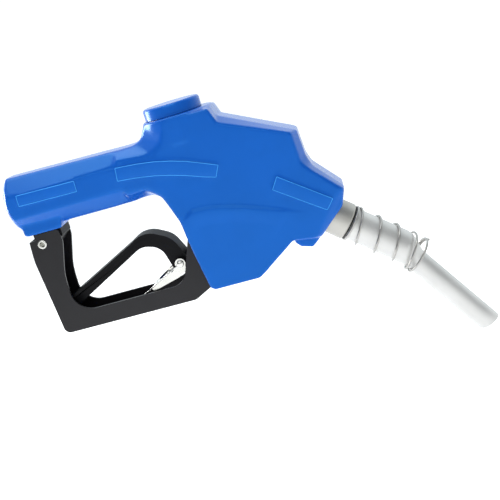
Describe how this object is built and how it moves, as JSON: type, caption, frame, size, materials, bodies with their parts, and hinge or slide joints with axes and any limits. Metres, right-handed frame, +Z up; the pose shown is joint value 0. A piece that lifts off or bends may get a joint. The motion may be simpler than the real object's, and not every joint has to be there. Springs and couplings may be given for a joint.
{
  "type": "fuel nozzle",
  "caption": "Automatic shut-off fuel nozzle with covered octagonal grip, channel hand guard, trigger lever, hold-open clip and bent spout.",
  "frame": {"origin": "centre of the hose inlet's end face at the rear of the handle", "axes": "+X along the handle from the inlet towards the outlet, +Z up with the handle level, Y across"},
  "size_m": [0.3969, 0.0616, 0.2746],
  "materials": {
    "blue_vinyl": "semi-gloss moulded vinyl",
    "cast_aluminium": "as-cast, lightly blasted",
    "turned_aluminium": "turned, satin",
    "black_coat": "satin black coating",
    "black_lever": "fine-grained nylon over a steel core",
    "zinc_steel": "bright zinc plate",
    "steel": "ground",
    "spring_steel": "drawn wire",
    "rubber": "smooth",
    "brass": "turned",
    "acetal": "moulded"
  },
  "bodies": {
    "body": {"valve_body": "cast_aluminium", "scuff_cover": "blue_vinyl", "cap_cover": "blue_vinyl", "lug_sleeve": "black_lever", "main_cap": "turned_aluminium", "cap_o_ring": "rubber", "main_seat": "brass", "main_spring": "spring_steel", "stem_packing": "rubber", "packing_nut": "brass", "diaphragm_cap": "cast_aluminium", "diaphragm_cap_screws": "zinc_steel", "diaphragm_spring": "spring_steel", "plunger_spring": "spring_steel", "plunger_retainer": "brass", "hand_guard": "black_coat", "guard_rivet": "black_coat", "guard_screws": "zinc_steel", "check_seat": "brass", "check_spring": "spring_steel", "check_guide": "acetal", "spout_collar": "cast_aluminium", "spout_screw": "steel", "spout_ring": "rubber", "spout_tube": "turned_aluminium", "spout_spring": "zinc_steel", "vent_tube": "turned_aluminium"},
    "plunger": {"plunger": "steel", "latch_balls": "steel", "lever_pin": "steel"},
    "lever": {"lever": "black_lever", "lever_pad": "steel", "clip_pin": "steel", "clip_spring": "spring_steel"},
    "clip": {"hold_open_clip": "zinc_steel"},
    "stem": {"valve_stem": "steel", "main_poppet": "turned_aluminium", "poppet_seal": "rubber", "stem_nut": "zinc_steel"},
    "check": {"check_poppet": "acetal"},
    "diaphragm": {"diaphragm": "rubber", "diaphragm_plates": "zinc_steel", "latch_pin": "steel"}
  },
  "joints": [
    {"name": "plunger_drop", "type": "slide", "parent": "body", "child": "plunger", "axis": [-0.342, 0, -0.9397], "range_m": [0, 0.005], "stiffness_N_per_m": 700, "springref_m": -0.02, "deforming": ["plunger_spring"]},
    {"name": "lever_squeeze", "type": "hinge", "parent": "plunger", "child": "lever", "pos_m": [0.19848, 0, -0.09431], "axis": [0, 1, 0], "range_deg": [0, 15], "stiffness_Nm_per_rad": 0.8, "springref_deg": -22.92},
    {"name": "clip_swing", "type": "hinge", "parent": "lever", "child": "clip", "pos_m": [0.1319, 0, -0.091], "axis": [0, -1, 0], "range_deg": [0, 60], "stiffness_Nm_per_rad": 0.02, "springref_deg": -22.92},
    {"name": "stem_lift", "type": "slide", "parent": "body", "child": "stem", "axis": [0, 0, 1], "range_m": [0, 0.0092], "deforming": ["main_spring"]},
    {"name": "check_open", "type": "slide", "parent": "body", "child": "check", "axis": [0.766, 0, -0.6428], "range_m": [0, 0.006], "stiffness_N_per_m": 300, "springref_m": -0.008, "deforming": ["check_spring"]},
    {"name": "diaphragm_lift", "type": "slide", "parent": "body", "child": "diaphragm", "axis": [0.342, 0, 0.9397], "range_m": [0, 0.003], "stiffness_N_per_m": 400, "springref_m": -0.006, "deforming": ["diaphragm_spring", "diaphragm"]}
  ],
  "couplings": [
    {"joint": "stem_lift", "follows": "lever_squeeze", "m_per_rad": 0.0342}
  ]
}
